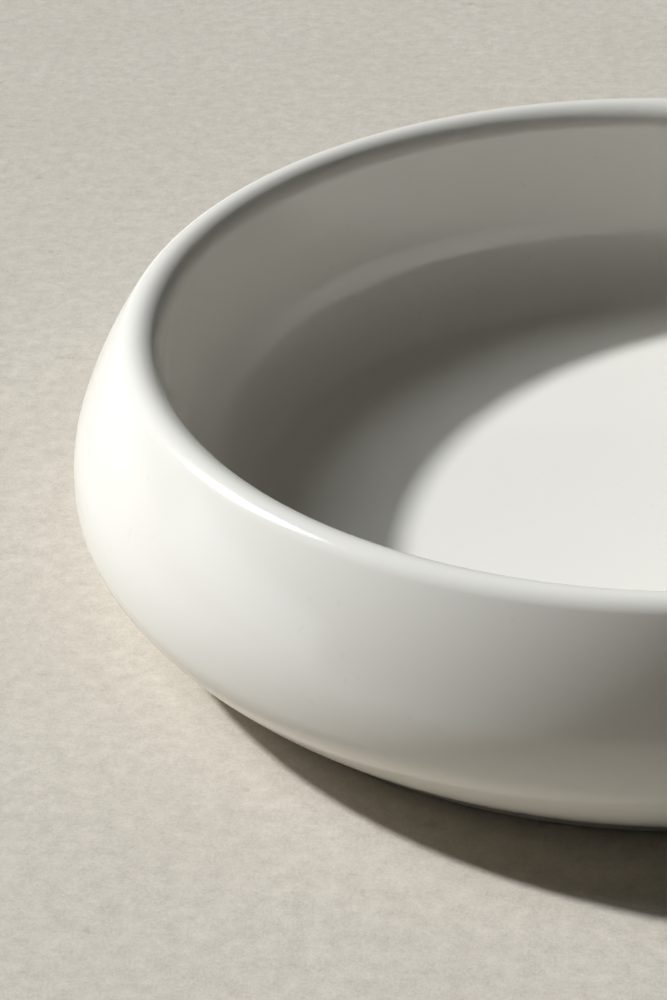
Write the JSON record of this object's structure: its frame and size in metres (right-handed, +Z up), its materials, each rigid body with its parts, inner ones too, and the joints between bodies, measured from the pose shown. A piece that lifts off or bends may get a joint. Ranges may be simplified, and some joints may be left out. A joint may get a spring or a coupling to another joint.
{
  "type": "serving bowl",
  "caption": "Low round porcelain serving bowl with a convex shoulder, a small rolled lip, a broad flat floor and a low bare foot ring.",
  "frame": {"origin": "on the bowl's axis, in the plane that the foot ring stands on", "axes": "+Z up along the bowl's axis; X and Y level, the bowl being round about Z"},
  "size_m": [0.28, 0.28, 0.0595],
  "materials": {
    "white_glaze": "glossy clear-over-white glaze, slightly warm, soft waviness",
    "bisque": "fired porcelain clay, hidden under the glaze and in the hollow",
    "bare_foot": "unglazed fired porcelain clay, matt, fine grain, slightly greyed by use"
  },
  "bodies": {
    "root": {"inner_basin": "bisque", "outer_shell": "bisque", "foot_ring": "bare_foot", "inner_glaze": "white_glaze", "outer_glaze": "white_glaze", "foot_well_glaze": "white_glaze"}
  },
  "joints": []
}
